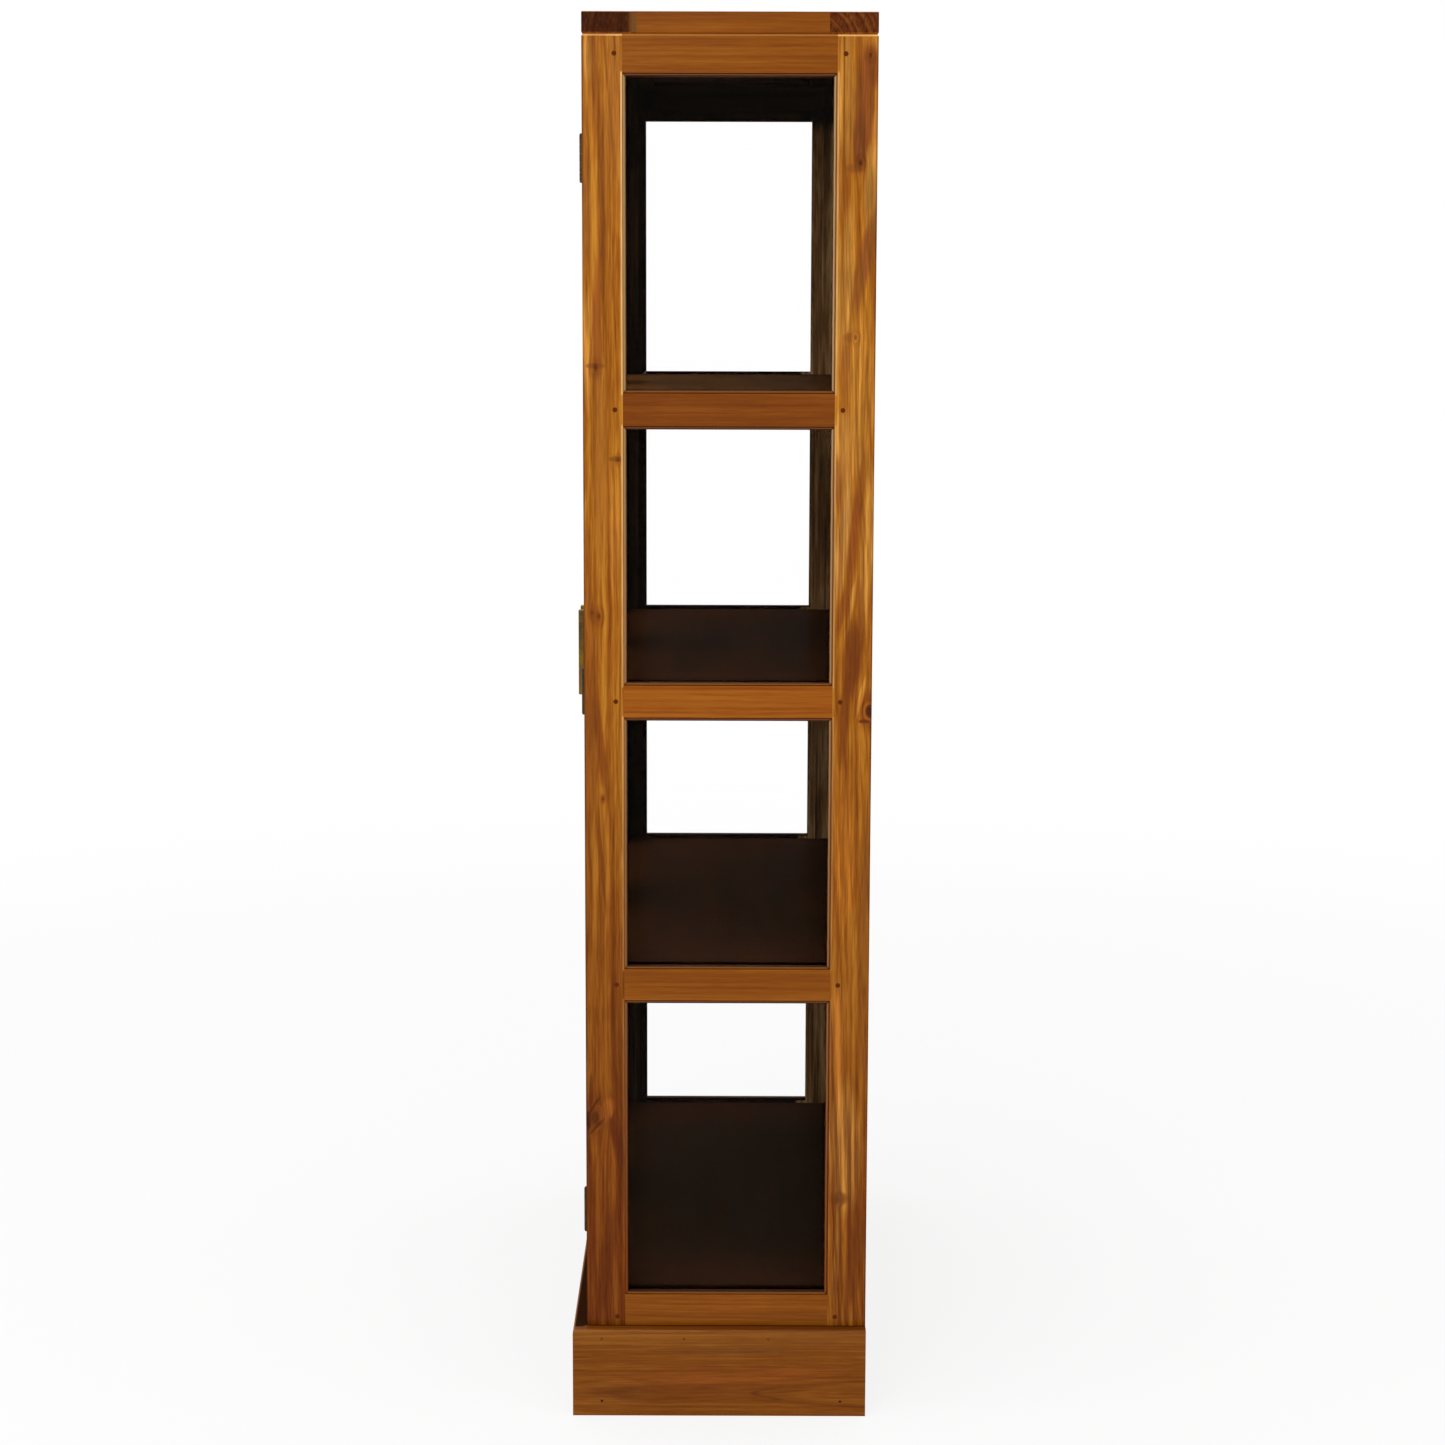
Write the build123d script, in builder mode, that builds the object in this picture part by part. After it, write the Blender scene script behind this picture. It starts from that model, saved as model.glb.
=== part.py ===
"""Free-standing display cabinet: glazed side frames and doors, shelves, framed top and nailed plinth.

Millimetres. X runs across the front, the doors face -Y and Z is up. The origin is on the floor, at
the centre of the ground that the cabinet covers, handles included.
"""

from build123d import *
from collections import namedtuple
import os

os.makedirs("parts", exist_ok=True)

# Case
BODY_WIDTH = 864.0
BODY_DEPTH = 365.0
BOTTOM_RAIL_TOP = 159.0
LOWEST_LIGHT = 396.0
MIDDLE_LIGHT = 328.0
HIGHEST_LIGHT = 392.0
BOTTOM_RAIL = 60.0
SHELF_RAIL = 41.0
TOP_RAIL = 47.0
SIDE_THICK = 25.0
SIDE_STILE = 50.0
SIDE_LIP = 9.0

# Top
TOP_THICK = 27.0
TOP_FRONT_BOARD = 68.0
TOP_BACK_BOARD = 60.0
TOP_END_BOARD = 62.0
TOP_PANEL_THICK = 19.0
TOP_TONGUE = 8.0
TOP_TONGUE_THICK = 7.0
TOP_TONGUE_STOP = 15.0
TOP_TONGUE_GAP = 0.2
TOP_GROOVE = 2.0
TOP_EASE = 1.0

# Plinth
PLINTH_HEIGHT = 117.0
PLINTH_THICK = 18.0
PLINTH_ROUND = 5.0
NAIL_RADIUS = 1.0
NAIL_HEAD_RADIUS = 1.7
NAIL_HEAD = 1.2
NAIL_LENGTH = 38.0
NAIL_GAP = 0.02
NAIL_FRONT_INSET = 20.0
NAIL_BACK_INSET = 33.0
NAIL_RAIL_SPREAD = 110.0
NAIL_LOW = 20.0
NAIL_TOP_INSET = 12.0
FRONT_NAIL_LOW = 40.0
FRONT_NAIL_TOP_INSET = 32.0

# Shelves and back
SHELF_THICK = 19.0
SHELF_ROUND = 2.0
SHELF_TONGUE = 5.0
SHELF_TONGUE_THICK = 9.0
SHELF_TONGUE_GAP = 0.2
SHELF_SETBACK = 3.0
BACK_THICK = 6.0
BACK_REBATE = 8.0
BACK_GAP = 0.5

# Doors
DOOR_GAP = 3.0
DOOR_THICK = 22.0
DOOR_STILE = 52.0
DOOR_LIP = 8.0

# Glazing
PANE_THICK = 4.0
PANE_LAP = 6.0
REBATE = 8.0
BEAD_SIGHT = 4.0
BEAD_SETBACK = 0.6
BEAD_EASE = 0.9
MITRE_GAP = 0.15

# Joints between rails and stiles
TENON_SCREW_CLEARANCE = 1.0
TENON_THICK = 8.0
TENON_SHOULDER = 10.0
TENON_GAP = 0.1
TENON_END_GAP = 1.0
PEG_RADIUS = 3.0
PEG_INSET = 10.0
PEG_PROUD = 0.3
PEG_END = 3.0
PEG_GAP = 0.03

# Hinges
HINGE_LENGTH = 57.0
HINGE_END = 146.0
MIDDLE_HINGE_HEIGHT = 954.0
KNUCKLES = 5
KNUCKLE_RADIUS = 2.75
KNUCKLE_GAP = 0.35
PIN_RADIUS = 1.5
PIN_GAP = 0.05
PIN_FORWARD = 1.6
PIN_HEAD_RADIUS = 2.3
PIN_HEAD = 1.8
PIN_EASE = 0.6
LEAF_THICK = 1.2
LEAF_DEPTH = 18.0
LEAF_SCREW_SPACING = 19.0
LEAF_SCREWS = 3
HINGE_EASE = 1.6

# Screws
SCREW_RADIUS = 1.5
SCREW_HEAD_RADIUS = 2.6
SCREW_HEAD = 1.1
SCREW_LENGTH = 15.0
SCREW_TIP = 2.5
SCREW_GAP = 0.05
BACK_SCREW_ROWS = 6
BACK_SCREW_END = 60.0
BACK_SHELF_SCREWS = 3
BACK_SHELF_SPACING = 300.0

# Handles
HANDLE_HEIGHT = 954.0
HANDLE_LENGTH = 121.0
HANDLE_REACH = 29.0
HANDLE_WIDTH = 9.0
HANDLE_BAR = 8.0
HANDLE_POST = 8.0
HANDLE_EASE = 1.0
HANDLE_SCREW_RADIUS = 2.0
HANDLE_SCREW_HEAD_RADIUS = 3.8
HANDLE_SCREW_HEAD = 2.2
HANDLE_SCREW_BITE = 10.0
HANDLE_SCREW_ROUND = 1.0

# Catches
CATCH_WIDTH = 52.0
CATCH_HEIGHT = 13.0
CATCH_DEPTH = 20.0
CATCH_EAR = 10.0
CATCH_EAR_THICK = 4.0
CATCH_EASE = 1.0
CATCH_GAP = 0.4
STRIKE_THICK = 1.5
STRIKE_SIZE = 22.0
STRIKE_INSET = 1.0
STRIKE_DROP = 2.0
STRIKE_CORNER = 2.0

# Places that follow from the sizes above
FRAME_TOP = BOTTOM_RAIL_TOP + LOWEST_LIGHT + 2 * MIDDLE_LIGHT + HIGHEST_LIGHT + 3 * SHELF_RAIL + TOP_RAIL
TOTAL_HEIGHT = FRAME_TOP + TOP_THICK
HALF = BODY_WIDTH / 2
INSIDE = HALF - SIDE_THICK
BACK_Y = (BODY_DEPTH + max(HANDLE_REACH, PLINTH_THICK)) / 2
FRONT_Y = BACK_Y - BODY_DEPTH
MIDDLE_Y = (FRONT_Y + BACK_Y) / 2
DOOR_BACK_Y = FRONT_Y + DOOR_THICK
SHELF_FRONT_Y = DOOR_BACK_Y + SHELF_SETBACK
SHELF_BACK_Y = BACK_Y - BACK_THICK
DOOR_WIDTH = (2 * INSIDE - 3 * DOOR_GAP) / 2
DOOR_LOW = PLINTH_HEIGHT + DOOR_GAP
DOOR_HIGH = FRAME_TOP - DOOR_GAP
MEETING_MIDDLE = (DOOR_GAP + DOOR_STILE) / 2
TOP_MIDDLE = FRAME_TOP + TOP_THICK / 2
TOP_PANEL_FRONT = FRONT_Y + TOP_FRONT_BOARD
TOP_PANEL_BACK = BACK_Y - TOP_BACK_BOARD
TOP_PANEL_END = HALF - TOP_END_BOARD
TONGUE_LOW = TOP_MIDDLE - TOP_TONGUE_THICK / 2
TONGUE_HIGH = TOP_MIDDLE + TOP_TONGUE_THICK / 2
GROOVE_LOW = TONGUE_LOW - TOP_TONGUE_GAP
GROOVE_HIGH = TONGUE_HIGH + TOP_TONGUE_GAP
GROOVE_DEPTH = TOP_TONGUE + TOP_TONGUE_GAP
PIN_X = INSIDE - DOOR_GAP / 2
KNUCKLE_LENGTH = (HINGE_LENGTH - (KNUCKLES - 1) * KNUCKLE_GAP) / KNUCKLES
KNUCKLE_STEP = KNUCKLE_LENGTH + KNUCKLE_GAP
LEAF_FRONT_Y = FRONT_Y - PIN_FORWARD + KNUCKLE_RADIUS + KNUCKLE_GAP
LEAF_SCREW_Y = (LEAF_FRONT_Y + FRONT_Y + LEAF_DEPTH) / 2
CATCH_FRONT_Y = DOOR_BACK_Y + STRIKE_THICK + CATCH_GAP
STRIKE_MIDDLE = DOOR_GAP / 2 + STRIKE_INSET + STRIKE_SIZE / 2
STRIKE_HEIGHT = DOOR_HIGH - STRIKE_DROP - STRIKE_SIZE / 2
HANDLE_SCREW_HEIGHTS = [HANDLE_HEIGHT + way * (HANDLE_LENGTH - HANDLE_POST) / 2 for way in (-1, 1)]

# The tenons stop short of the hinge screws in the side frames and of the handle screws in the doors
SIDE_TENON = (SIDE_STILE - (LEAF_SCREW_Y - FRONT_Y) - SCREW_RADIUS - TENON_SCREW_CLEARANCE
              - TENON_END_GAP)
DOOR_TENON = DOOR_STILE / 2 - HANDLE_SCREW_RADIUS - TENON_SCREW_CLEARANCE - TENON_END_GAP

# A glazed frame in its own plane, where x runs along it, y is up and z points out of the cabinet
Frame = namedtuple("Frame", "plane left right stile thick lip tenon foot head")
SIDE_PLANE = Plane(origin=(HALF, 0, 0), x_dir=(0, 1, 0), z_dir=(1, 0, 0))
DOOR_PLANE = Plane(origin=(0, FRONT_Y, 0), x_dir=(1, 0, 0), z_dir=(0, -1, 0))
SIDE = Frame(SIDE_PLANE, FRONT_Y, BACK_Y, SIDE_STILE, SIDE_THICK, SIDE_LIP, SIDE_TENON, 0.0, FRAME_TOP)
DOOR = Frame(DOOR_PLANE, DOOR_GAP / 2, DOOR_GAP / 2 + DOOR_WIDTH, DOOR_STILE, DOOR_THICK, DOOR_LIP,
             DOOR_TENON, DOOR_LOW, DOOR_HIGH)

# The four glazed lights, one above the other, as the heights of their lower and upper edges
LIGHTS = []
light_low = BOTTOM_RAIL_TOP
for light_height in (LOWEST_LIGHT, MIDDLE_LIGHT, MIDDLE_LIGHT, HIGHEST_LIGHT):
    LIGHTS.append((light_low, light_low + light_height))
    light_low += light_height + SHELF_RAIL

# The rails between and around the lights
SHELF_RAILS = {name: (LIGHTS[n][1], LIGHTS[n + 1][0])
               for n, name in enumerate(("lower", "middle", "upper"))}
SIDE_RAILS = {"bottom": (BOTTOM_RAIL_TOP - BOTTOM_RAIL, BOTTOM_RAIL_TOP), **SHELF_RAILS,
              "top": (LIGHTS[3][1], FRAME_TOP)}
DOOR_RAILS = {"bottom": (DOOR_LOW, BOTTOM_RAIL_TOP), **SHELF_RAILS, "top": (LIGHTS[3][1], DOOR_HIGH)}

# Screws and nails lie along +Z with the top of the head at zero, and each has the hole that it needs
def turned(points):
    """A solid of revolution about Z from the corners of half its section, as radius and height."""
    with BuildPart() as solid:
        with BuildSketch(Plane.XZ):
            Polygon(*points)
        revolve(axis=Axis.Z)
    return solid.part


def wood_screw(gap):
    """A countersunk wood screw, or with a gap, the hole for it."""
    return turned([(0, 0), (SCREW_HEAD_RADIUS + gap, 0), (SCREW_RADIUS + gap, SCREW_HEAD),
                   (SCREW_RADIUS + gap, SCREW_LENGTH - SCREW_TIP), (0, SCREW_LENGTH + gap)])


def nail(gap):
    """A flat-headed nail, or with a gap, the hole for it."""
    return turned([(0, 0), (NAIL_HEAD_RADIUS + gap, 0), (NAIL_HEAD_RADIUS + gap, NAIL_HEAD + gap),
                   (NAIL_RADIUS + gap, NAIL_HEAD + gap), (NAIL_RADIUS + gap, NAIL_LENGTH + gap),
                   (0, NAIL_LENGTH + gap)])


SCREW = wood_screw(0)
SCREW_HOLE = wood_screw(SCREW_GAP)
NAIL = nail(0)
NAIL_HOLE = nail(NAIL_GAP)


def write(piece, name):
    """Labels a finished piece and writes its file."""
    piece.part.label = name
    export_step(piece.part, f"parts/{name}.step")


def write_pair(piece, name):
    """Writes a right-hand piece, and its mirror image for the left. The name holds {side}."""
    write(piece, name.format(side="right"))
    with BuildPart() as opposite:
        mirror(piece.part, about=Plane.YZ)
    write(opposite, name.format(side="left"))


def block(corner, opposite, mode=Mode.ADD):
    """A box between two corners, in the axes of the plane that is being worked on."""
    with Locations(tuple((a + b) / 2 for a, b in zip(corner, opposite))):
        Box(*(abs(b - a) for a, b in zip(corner, opposite)), mode=mode)


def rod(base, direction, length, radius, mode=Mode.ADD):
    """A round bar from a point along a direction."""
    with Locations(Plane(origin=base, z_dir=direction)):
        Cylinder(radius, length, align=(Align.CENTER, Align.CENTER, Align.MIN), mode=mode)


def put(fastener, places, mode=Mode.ADD):
    """Copies of a screw, a nail or a hole, at each base point along its direction."""
    with Locations(*(Plane(origin=base, z_dir=direction) for base, direction in places)):
        add(fastener, mode=mode)


# Where each fastener goes, as its base and its direction, in whole-cabinet axes on the right-hand side
HINGE_HEIGHTS = (DOOR_LOW + HINGE_END, MIDDLE_HINGE_HEIGHT, DOOR_HIGH - HINGE_END)
SCREW_HEIGHTS = [height + (n - (LEAF_SCREWS - 1) / 2) * LEAF_SCREW_SPACING
                 for height in HINGE_HEIGHTS for n in range(LEAF_SCREWS)]
CASE_HINGE_SCREWS = [((INSIDE - LEAF_THICK, LEAF_SCREW_Y, z), (1, 0, 0)) for z in SCREW_HEIGHTS]
DOOR_HINGE_SCREWS = [((INSIDE - DOOR_GAP + LEAF_THICK, LEAF_SCREW_Y, z), (-1, 0, 0)) for z in SCREW_HEIGHTS]
UPPER_NAIL_Z = PLINTH_HEIGHT - NAIL_TOP_INSET
SIDE_NAILS = [((HALF + PLINTH_THICK, y, z), (-1, 0, 0)) for y, z in (
    (FRONT_Y + NAIL_FRONT_INSET, NAIL_LOW), (FRONT_Y + NAIL_FRONT_INSET, UPPER_NAIL_Z),
    (MIDDLE_Y - NAIL_RAIL_SPREAD / 2, UPPER_NAIL_Z), (MIDDLE_Y + NAIL_RAIL_SPREAD / 2, UPPER_NAIL_Z),
    (BACK_Y - NAIL_BACK_INSET, NAIL_LOW))]
FRONT_NAILS = [((HALF - SIDE_THICK / 2, FRONT_Y - PLINTH_THICK, z), (0, 1, 0))
               for z in (FRONT_NAIL_LOW, PLINTH_HEIGHT - FRONT_NAIL_TOP_INSET)]
PANEL_SPAN = FRAME_TOP - PLINTH_HEIGHT - 2 * BACK_SCREW_END
BACK_STILE_SCREWS = [((INSIDE + BACK_REBATE / 2, BACK_Y,
                       PLINTH_HEIGHT + BACK_SCREW_END + PANEL_SPAN * n / (BACK_SCREW_ROWS - 1)), (0, -1, 0))
                     for n in range(BACK_SCREW_ROWS)]
SHELF_TOPS = {"bottom_panel": LIGHTS[0][0], "lower_shelf": LIGHTS[1][0], "middle_shelf": LIGHTS[2][0],
              "upper_shelf": LIGHTS[3][0]}
BACK_SHELF_SCREW_PLACES = [(((n - (BACK_SHELF_SCREWS - 1) / 2) * BACK_SHELF_SPACING, BACK_Y,
                             top - SHELF_THICK / 2), (0, -1, 0))
                           for top in SHELF_TOPS.values() for n in range(BACK_SHELF_SCREWS)]
CATCH_SCREWS = [((way * (CATCH_WIDTH + CATCH_EAR) / 2, CATCH_FRONT_Y + CATCH_DEPTH / 2,
                  FRAME_TOP - CATCH_EAR_THICK), (0, 0, 1)) for way in (-1, 1)]
STRIKE_SCREWS = [((STRIKE_MIDDLE, DOOR_BACK_Y + STRIKE_THICK, STRIKE_HEIGHT), (0, -1, 0))]


def on_both_sides(places):
    """The places of fasteners on the right-hand side, and their mirror images on the left."""
    return places + [((-x, y, z), (-across, back, up)) for (x, y, z), (across, back, up) in places]


def outer_edges(board, level, axis, end):
    """The edges at the foot or head of a board of the top, along its front or back and both its ends."""
    edges = board.faces().sort_by(Axis.Z)[level].edges()
    return [edges.sort_by(axis)[end], edges.sort_by(Axis.X)[0], edges.sort_by(Axis.X)[-1]]


# Glazed frames: stiles, rails, panes and beads
def rebates(frame):
    """Cuts the recesses behind the lip of a frame that hold its panes and inner beads."""
    for sill, head in LIGHTS:
        block((frame.left + frame.stile - REBATE, sill - REBATE, -frame.thick),
              (frame.right - frame.stile + REBATE, head + REBATE, -frame.lip), mode=Mode.SUBTRACT)


def tenon(frame, rail, on_right, gap, end_gap, mode):
    """The tenon at one end of a rail, or with gaps, the mortise for it."""
    inner = frame.right - frame.stile if on_right else frame.left + frame.stile
    end = inner + (frame.tenon + end_gap if on_right else -frame.tenon - end_gap)
    middle = -frame.thick / 2
    block((inner, rail[0] + TENON_SHOULDER - gap, middle - TENON_THICK / 2 - gap),
          (end, rail[1] - TENON_SHOULDER + gap, middle + TENON_THICK / 2 + gap), mode=mode)


def peg(frame, rail, on_right, radius, proud, mode):
    """The peg through one joint of a frame, or the hole for it."""
    inner = frame.right - frame.stile if on_right else frame.left + frame.stile
    place = inner + (PEG_INSET if on_right else -PEG_INSET)
    rod((place, (rail[0] + rail[1]) / 2, proud), (0, 0, -1), frame.thick - PEG_END + proud, radius, mode)


def stile(frame, rails, on_right, pegged):
    """A stile with its rebates and mortises."""
    near = frame.right - frame.stile if on_right else frame.left
    block((near, frame.foot, -frame.thick), (near + frame.stile, frame.head, 0))
    rebates(frame)
    for rail in rails.values():
        tenon(frame, rail, on_right, TENON_GAP, TENON_END_GAP, Mode.SUBTRACT)
        if pegged:
            peg(frame, rail, on_right, PEG_RADIUS + PEG_GAP, 0, Mode.SUBTRACT)


def rail_between(frame, rail, pegged):
    """A rail with its rebates and its two tenons."""
    block((frame.left + frame.stile, rail[0], -frame.thick), (frame.right - frame.stile, rail[1], 0))
    rebates(frame)
    for on_right in (False, True):
        tenon(frame, rail, on_right, 0, 0, Mode.ADD)
        if pegged:
            peg(frame, rail, on_right, PEG_RADIUS + PEG_GAP, 0, Mode.SUBTRACT)


def panes(frame):
    """The panes of a frame, each lapping its light all round."""
    for sill, head in LIGHTS:
        block((frame.left + frame.stile - PANE_LAP, sill - PANE_LAP, -frame.lip - PANE_THICK),
              (frame.right - frame.stile + PANE_LAP, head + PANE_LAP, -frame.lip))


def bead_strips(frame, grow, width):
    """The outlines of four mitred strips round each light, whose outer edges lie outside it by grow."""
    across = (frame.right - frame.left) / 2 - frame.stile + grow
    for sill, head in LIGHTS:
        up = (head - sill) / 2 + grow
        with Locations(((frame.left + frame.right) / 2, (sill + head) / 2)):
            for side in (-1, 1):
                Polygon((MITRE_GAP - across, side * up), (across - MITRE_GAP, side * up),
                        (across - width - MITRE_GAP, side * (up - width)),
                        (MITRE_GAP - across + width, side * (up - width)))
                Polygon((side * across, MITRE_GAP - up), (side * across, up - MITRE_GAP),
                        (side * (across - width), up - width - MITRE_GAP),
                        (side * (across - width), MITRE_GAP - up + width))


def outer_beads(frame):
    """The narrow beads that show outside, set back a little from the face and eased along both edges."""
    with BuildSketch(frame.plane.offset(-frame.lip)) as outlines:
        bead_strips(frame, 0, BEAD_SIGHT)
    extrude(outlines.sketch, amount=frame.lip - BEAD_SETBACK)
    chamfer(faces().group_by(Axis((0, 0, 0), frame.plane.z_dir))[-1].edges(), BEAD_EASE)


def inner_beads(frame):
    """The wide beads that fill the rebates behind the panes."""
    with BuildSketch(frame.plane.offset(-frame.thick)) as outlines:
        bead_strips(frame, REBATE, REBATE + BEAD_SIGHT)
    extrude(outlines.sketch, amount=frame.thick - frame.lip - PANE_THICK)


# Plinth
OUTER_X = HALF + PLINTH_THICK
OUTER_Y = FRONT_Y - PLINTH_THICK

with BuildPart() as plinth_front:
    with BuildSketch():
        Polygon((-OUTER_X, OUTER_Y), (OUTER_X, OUTER_Y), (HALF, FRONT_Y), (-HALF, FRONT_Y))
    extrude(amount=PLINTH_HEIGHT)
    fillet(plinth_front.faces().sort_by(Axis.Z)[-1].edges().sort_by(Axis.Y)[0], PLINTH_ROUND)
    put(NAIL_HOLE, on_both_sides(FRONT_NAILS), Mode.SUBTRACT)
write(plinth_front, "plinth_front")

with BuildPart() as plinth_side:
    with BuildSketch():
        Polygon((OUTER_X, OUTER_Y), (OUTER_X, BACK_Y), (HALF, BACK_Y), (HALF, FRONT_Y))
    extrude(amount=PLINTH_HEIGHT)
    fillet(plinth_side.faces().sort_by(Axis.Z)[-1].edges().sort_by(Axis.X)[-1], PLINTH_ROUND)
    put(NAIL_HOLE, SIDE_NAILS, Mode.SUBTRACT)
write_pair(plinth_side, "plinth_{side}")

with BuildPart() as plinth_rear:
    block((-INSIDE, BACK_Y - PLINTH_THICK, 0), (INSIDE, BACK_Y, PLINTH_HEIGHT))
write(plinth_rear, "plinth_rear")

with BuildPart() as plinth_nails:
    put(NAIL, on_both_sides(SIDE_NAILS + FRONT_NAILS))
write(plinth_nails, "plinth_nails")

# Side frames
for name, on_right in (("front", False), ("back", True)):
    with BuildPart(SIDE_PLANE) as side_stile:
        stile(SIDE, SIDE_RAILS, on_right, pegged=True)
        top_edges = side_stile.faces().sort_by(Axis.Z)[-1].edges()
        chamfer([top_edges.sort_by(Axis.X)[-1], top_edges.sort_by(Axis.Y)[-1 if on_right else 0]], TOP_GROOVE)
    with BuildPart() as drilled:
        add(side_stile.part)
        if on_right:
            block((INSIDE, BACK_Y - BACK_THICK, PLINTH_HEIGHT),
                  (INSIDE + BACK_REBATE, BACK_Y, FRAME_TOP), mode=Mode.SUBTRACT)
            put(SCREW_HOLE, BACK_STILE_SCREWS, Mode.SUBTRACT)
        else:
            chamfer(drilled.edges().filter_by(Axis.Z).group_by(Axis.Y)[0].sort_by(Axis.X)[0], HINGE_EASE)
            put(SCREW_HOLE, CASE_HINGE_SCREWS, Mode.SUBTRACT)
            put(NAIL_HOLE, FRONT_NAILS, Mode.SUBTRACT)
        put(NAIL_HOLE, SIDE_NAILS, Mode.SUBTRACT)
    write_pair(drilled, "side_{side}_" + name + "_stile")

for name, rail in SIDE_RAILS.items():
    with BuildPart(SIDE_PLANE) as side_rail:
        rail_between(SIDE, rail, pegged=True)
        if name == "top":
            chamfer(side_rail.faces().sort_by(Axis.Z)[-1].edges().sort_by(Axis.X)[-1], TOP_GROOVE)
        else:
            block((SIDE.left + SIDE.stile, rail[1] - SHELF_THICK - SHELF_TONGUE_GAP, -SIDE.thick),
                  (SIDE.right - SIDE.stile, rail[1] - SHELF_THICK + SHELF_TONGUE_THICK + SHELF_TONGUE_GAP,
                   SHELF_TONGUE + SHELF_TONGUE_GAP - SIDE.thick), mode=Mode.SUBTRACT)
    if name == "bottom":
        with BuildPart() as drilled:
            add(side_rail.part)
            put(NAIL_HOLE, SIDE_NAILS, Mode.SUBTRACT)
        write_pair(drilled, "side_{side}_bottom_rail")
    else:
        write_pair(side_rail, "side_{side}_" + name + "_rail")

with BuildPart(SIDE_PLANE) as side_pegs:
    for rail in SIDE_RAILS.values():
        for on_right in (False, True):
            peg(SIDE, rail, on_right, PEG_RADIUS, PEG_PROUD, Mode.ADD)
    chamfer(side_pegs.faces().group_by(Axis.X)[-1].edges(), PEG_PROUD)
    mirror(about=Plane.YZ)
write(side_pegs, "side_pegs")

with BuildPart(SIDE_PLANE) as side_panes:
    panes(SIDE)
write_pair(side_panes, "side_{side}_panes")

with BuildPart(SIDE_PLANE) as side_outer_beads:
    outer_beads(SIDE)
    mirror(about=Plane.YZ)
write(side_outer_beads, "side_outer_beads")

with BuildPart(SIDE_PLANE) as side_inner_beads:
    inner_beads(SIDE)
    mirror(about=Plane.YZ)
write(side_inner_beads, "side_inner_beads")

# Bottom panel and shelves, whose tongues sit in the side rails between the stiles
for name, top in SHELF_TOPS.items():
    with BuildPart() as shelf:
        block((-INSIDE, SHELF_FRONT_Y, top - SHELF_THICK), (INSIDE, SHELF_BACK_Y, top))
        fillet(shelf.edges().filter_by(Axis.X).group_by(Axis.Y)[0], SHELF_ROUND)
        block((-INSIDE - SHELF_TONGUE, SIDE.left + SIDE.stile + SHELF_TONGUE_GAP, top - SHELF_THICK),
              (INSIDE + SHELF_TONGUE, SIDE.right - SIDE.stile - SHELF_TONGUE_GAP,
               top - SHELF_THICK + SHELF_TONGUE_THICK))
        put(SCREW_HOLE, BACK_SHELF_SCREW_PLACES, Mode.SUBTRACT)
    write(shelf, name)

# Back panel
with BuildPart() as back_panel:
    block((BACK_GAP - INSIDE - BACK_REBATE, BACK_Y - BACK_THICK, PLINTH_HEIGHT),
          (INSIDE + BACK_REBATE - BACK_GAP, BACK_Y, FRAME_TOP))
    put(SCREW_HOLE, BACK_SHELF_SCREW_PLACES + on_both_sides(BACK_STILE_SCREWS), Mode.SUBTRACT)
write(back_panel, "back_panel")

# Top, a panel held by tongues in four boards
with BuildPart() as top_front_board:
    block((-HALF, FRONT_Y, FRAME_TOP), (HALF, TOP_PANEL_FRONT, TOTAL_HEIGHT))
    chamfer(outer_edges(top_front_board, 0, Axis.Y, 0), TOP_GROOVE)
    chamfer(outer_edges(top_front_board, -1, Axis.Y, 0), TOP_EASE)
    block((TOP_TONGUE_STOP - HALF, TOP_PANEL_FRONT - GROOVE_DEPTH, GROOVE_LOW),
          (HALF - TOP_TONGUE_STOP, TOP_PANEL_FRONT, GROOVE_HIGH), mode=Mode.SUBTRACT)
    put(SCREW_HOLE, CATCH_SCREWS, Mode.SUBTRACT)
write(top_front_board, "top_front_board")

with BuildPart() as top_back_board:
    block((-HALF, TOP_PANEL_BACK, FRAME_TOP), (HALF, BACK_Y, TOTAL_HEIGHT))
    chamfer(outer_edges(top_back_board, 0, Axis.Y, -1), TOP_GROOVE)
    chamfer(outer_edges(top_back_board, -1, Axis.Y, -1), TOP_EASE)
    block((TOP_TONGUE_STOP - HALF, TOP_PANEL_BACK, GROOVE_LOW),
          (HALF - TOP_TONGUE_STOP, TOP_PANEL_BACK + GROOVE_DEPTH, GROOVE_HIGH), mode=Mode.SUBTRACT)
write(top_back_board, "top_back_board")

with BuildPart() as top_end_board:
    block((TOP_PANEL_END, TOP_PANEL_FRONT, FRAME_TOP), (HALF, TOP_PANEL_BACK, TOTAL_HEIGHT))
    right_edges = top_end_board.edges().filter_by(Axis.Y).group_by(Axis.X)[-1].sort_by(Axis.Z)
    chamfer(right_edges[0], TOP_GROOVE)
    chamfer(right_edges[-1], TOP_EASE)
    block((TOP_PANEL_END + GROOVE_DEPTH + TOP_TONGUE_GAP, TOP_PANEL_FRONT - TOP_TONGUE, TONGUE_LOW),
          (HALF - TOP_TONGUE_STOP - TOP_TONGUE_GAP, TOP_PANEL_BACK + TOP_TONGUE, TONGUE_HIGH))
    block((TOP_PANEL_END, TOP_PANEL_FRONT, GROOVE_LOW),
          (TOP_PANEL_END + GROOVE_DEPTH, TOP_PANEL_BACK, GROOVE_HIGH), mode=Mode.SUBTRACT)
write_pair(top_end_board, "top_{side}_end_board")

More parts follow.
